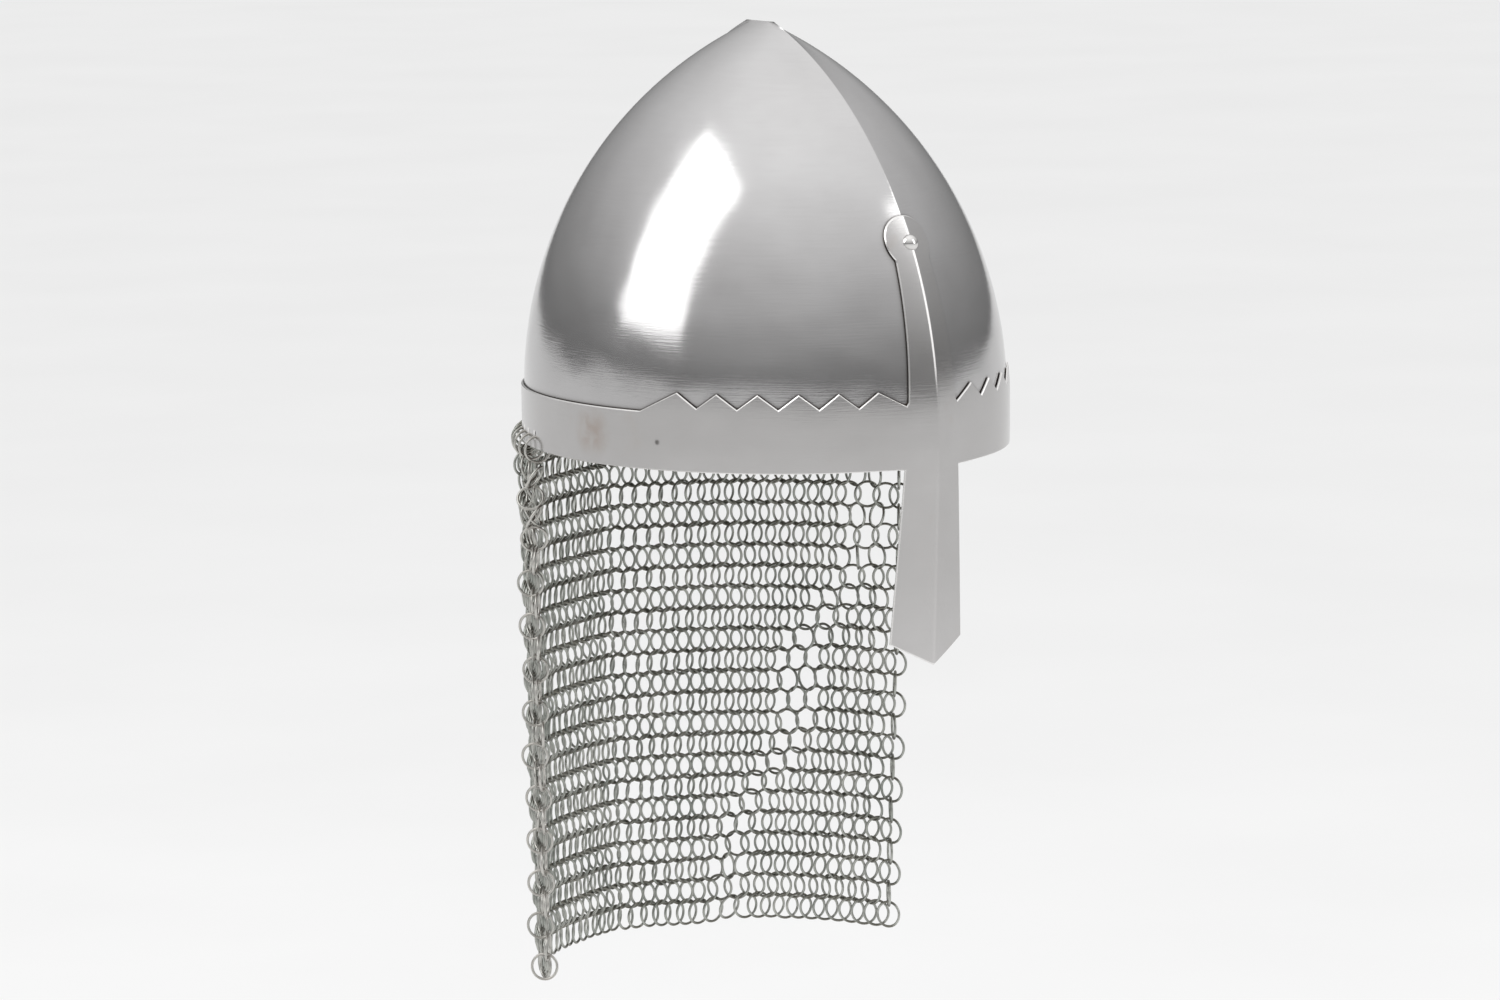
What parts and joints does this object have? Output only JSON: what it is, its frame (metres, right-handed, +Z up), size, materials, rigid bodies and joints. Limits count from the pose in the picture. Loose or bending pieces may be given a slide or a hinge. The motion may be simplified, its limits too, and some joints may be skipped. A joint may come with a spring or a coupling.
{
  "type": "knight helmet",
  "caption": "Pointed two-piece steel helmet with a toothed brow band, a riveted nasal bar, a leather liner and a mail neck curtain.",
  "frame": {"origin": "centre of the oval rim opening, in the plane of the rim's lower edge", "axes": "+Z up to the apex, -Y forward through the nasal bar, -X towards the wearer's right"},
  "size_m": [0.21, 0.2554, 0.437],
  "materials": {
    "skull_steel": "satin",
    "band_steel": "satin",
    "rivet_steel": "polished",
    "mail_steel": "satin",
    "liner_leather": "matte",
    "lace_leather": "matte"
  },
  "bodies": {
    "helmet": {"skull_left_half": "skull_steel", "skull_right_half": "skull_steel", "brow_band": "band_steel", "nasal_rivet": "rivet_steel", "nasal_rivet_washer": "rivet_steel", "liner_rivets": "rivet_steel", "hanger_rings": "mail_steel", "leather_liner": "liner_leather", "liner_lace": "lace_leather"},
    "aventail_strip_01": {"aventail_strip_01": "mail_steel"},
    "aventail_strip_02": {"aventail_strip_02": "mail_steel"},
    "aventail_strip_03": {"aventail_strip_03": "mail_steel"},
    "aventail_strip_04": {"aventail_strip_04": "mail_steel"},
    "aventail_strip_05": {"aventail_strip_05": "mail_steel"},
    "aventail_strip_06": {"aventail_strip_06": "mail_steel"},
    "aventail_strip_07": {"aventail_strip_07": "mail_steel"},
    "aventail_strip_08": {"aventail_strip_08": "mail_steel"},
    "aventail_strip_09": {"aventail_strip_09": "mail_steel"},
    "aventail_strip_10": {"aventail_strip_10": "mail_steel"},
    "aventail_strip_11": {"aventail_strip_11": "mail_steel"},
    "aventail_strip_12": {"aventail_strip_12": "mail_steel"},
    "aventail_strip_13": {"aventail_strip_13": "mail_steel"},
    "aventail_strip_14": {"aventail_strip_14": "mail_steel"},
    "aventail_strip_15": {"aventail_strip_15": "mail_steel"},
    "aventail_strip_16": {"aventail_strip_16": "mail_steel"},
    "aventail_strip_17": {"aventail_strip_17": "mail_steel"},
    "aventail_strip_18": {"aventail_strip_18": "mail_steel"},
    "aventail_strip_19": {"aventail_strip_19": "mail_steel"},
    "aventail_strip_20": {"aventail_strip_20": "mail_steel"},
    "aventail_strip_21": {"aventail_strip_21": "mail_steel"}
  },
  "joints": [
    {"name": "aventail_flare", "type": "hinge", "parent": "helmet", "child": "aventail_strip_11", "pos_m": [0, 0.12457, -0.0061], "axis": [1, 0, 0], "range_deg": [-2, 8]},
    {"name": "aventail_flare_01", "type": "hinge", "parent": "helmet", "child": "aventail_strip_01", "pos_m": [0.0966, 0.04332, -0.0061], "axis": [0.3248, -0.9458, 0], "range_deg": [-2, 8]},
    {"name": "aventail_flare_02", "type": "hinge", "parent": "helmet", "child": "aventail_strip_02", "pos_m": [0.09138, 0.05619, -0.0061], "axis": [0.426, -0.9047, 0], "range_deg": [-2, 8]},
    {"name": "aventail_flare_03", "type": "hinge", "parent": "helmet", "child": "aventail_strip_03", "pos_m": [0.08486, 0.06825, -0.0061], "axis": [0.5245, -0.8514, 0], "range_deg": [-2, 8]},
    {"name": "aventail_flare_04", "type": "hinge", "parent": "helmet", "child": "aventail_strip_04", "pos_m": [0.07712, 0.07934, -0.0061], "axis": [0.6189, -0.7855, 0], "range_deg": [-2, 8]},
    {"name": "aventail_flare_05", "type": "hinge", "parent": "helmet", "child": "aventail_strip_05", "pos_m": [0.06828, 0.0893, -0.0061], "axis": [0.7077, -0.7065, 0], "range_deg": [-2, 8]},
    {"name": "aventail_flare_06", "type": "hinge", "parent": "helmet", "child": "aventail_strip_06", "pos_m": [0.05846, 0.09797, -0.0061], "axis": [0.7888, -0.6146, 0], "range_deg": [-2, 8]},
    {"name": "aventail_flare_07", "type": "hinge", "parent": "helmet", "child": "aventail_strip_07", "pos_m": [0.0478, 0.10525, -0.0061], "axis": [0.8601, -0.5101, 0], "range_deg": [-2, 8]},
    {"name": "aventail_flare_08", "type": "hinge", "parent": "helmet", "child": "aventail_strip_08", "pos_m": [0.03646, 0.11117, -0.0061], "axis": [0.919, -0.3941, 0], "range_deg": [-2, 8]},
    {"name": "aventail_flare_09", "type": "hinge", "parent": "helmet", "child": "aventail_strip_09", "pos_m": [0.0246, 0.11633, -0.0061], "axis": [0.9632, -0.2686, 0], "range_deg": [-2, 8]},
    {"name": "aventail_flare_10", "type": "hinge", "parent": "helmet", "child": "aventail_strip_10", "pos_m": [0.01239, 0.1208, -0.0061], "axis": [0.9907, -0.1361, 0], "range_deg": [-2, 8]},
    {"name": "aventail_flare_12", "type": "hinge", "parent": "helmet", "child": "aventail_strip_12", "pos_m": [-0.01239, 0.1208, -0.0061], "axis": [0.9907, 0.1361, 0], "range_deg": [-2, 8]},
    {"name": "aventail_flare_13", "type": "hinge", "parent": "helmet", "child": "aventail_strip_13", "pos_m": [-0.0246, 0.11633, -0.0061], "axis": [0.9632, 0.2686, 0], "range_deg": [-2, 8]},
    {"name": "aventail_flare_14", "type": "hinge", "parent": "helmet", "child": "aventail_strip_14", "pos_m": [-0.03646, 0.11117, -0.0061], "axis": [0.919, 0.3941, 0], "range_deg": [-2, 8]},
    {"name": "aventail_flare_15", "type": "hinge", "parent": "helmet", "child": "aventail_strip_15", "pos_m": [-0.0478, 0.10525, -0.0061], "axis": [0.8601, 0.5101, 0], "range_deg": [-2, 8]},
    {"name": "aventail_flare_16", "type": "hinge", "parent": "helmet", "child": "aventail_strip_16", "pos_m": [-0.05846, 0.09797, -0.0061], "axis": [0.7888, 0.6146, 0], "range_deg": [-2, 8]},
    {"name": "aventail_flare_17", "type": "hinge", "parent": "helmet", "child": "aventail_strip_17", "pos_m": [-0.06828, 0.0893, -0.0061], "axis": [0.7077, 0.7065, 0], "range_deg": [-2, 8]},
    {"name": "aventail_flare_18", "type": "hinge", "parent": "helmet", "child": "aventail_strip_18", "pos_m": [-0.07712, 0.07934, -0.0061], "axis": [0.6189, 0.7855, 0], "range_deg": [-2, 8]},
    {"name": "aventail_flare_19", "type": "hinge", "parent": "helmet", "child": "aventail_strip_19", "pos_m": [-0.08486, 0.06825, -0.0061], "axis": [0.5245, 0.8514, 0], "range_deg": [-2, 8]},
    {"name": "aventail_flare_20", "type": "hinge", "parent": "helmet", "child": "aventail_strip_20", "pos_m": [-0.09138, 0.05619, -0.0061], "axis": [0.426, 0.9047, 0], "range_deg": [-2, 8]},
    {"name": "aventail_flare_21", "type": "hinge", "parent": "helmet", "child": "aventail_strip_21", "pos_m": [-0.0966, 0.04332, -0.0061], "axis": [0.3248, 0.9458, 0], "range_deg": [-2, 8]}
  ],
  "couplings": [
    {"joint": "aventail_flare_01", "follows": "aventail_flare", "ratio": 1},
    {"joint": "aventail_flare_02", "follows": "aventail_flare", "ratio": 1},
    {"joint": "aventail_flare_03", "follows": "aventail_flare", "ratio": 1},
    {"joint": "aventail_flare_04", "follows": "aventail_flare", "ratio": 1},
    {"joint": "aventail_flare_05", "follows": "aventail_flare", "ratio": 1},
    {"joint": "aventail_flare_06", "follows": "aventail_flare", "ratio": 1},
    {"joint": "aventail_flare_07", "follows": "aventail_flare", "ratio": 1},
    {"joint": "aventail_flare_08", "follows": "aventail_flare", "ratio": 1},
    {"joint": "aventail_flare_09", "follows": "aventail_flare", "ratio": 1},
    {"joint": "aventail_flare_10", "follows": "aventail_flare", "ratio": 1},
    {"joint": "aventail_flare_12", "follows": "aventail_flare", "ratio": 1},
    {"joint": "aventail_flare_13", "follows": "aventail_flare", "ratio": 1},
    {"joint": "aventail_flare_14", "follows": "aventail_flare", "ratio": 1},
    {"joint": "aventail_flare_15", "follows": "aventail_flare", "ratio": 1},
    {"joint": "aventail_flare_16", "follows": "aventail_flare", "ratio": 1},
    {"joint": "aventail_flare_17", "follows": "aventail_flare", "ratio": 1},
    {"joint": "aventail_flare_18", "follows": "aventail_flare", "ratio": 1},
    {"joint": "aventail_flare_19", "follows": "aventail_flare", "ratio": 1},
    {"joint": "aventail_flare_20", "follows": "aventail_flare", "ratio": 1},
    {"joint": "aventail_flare_21", "follows": "aventail_flare", "ratio": 1}
  ]
}
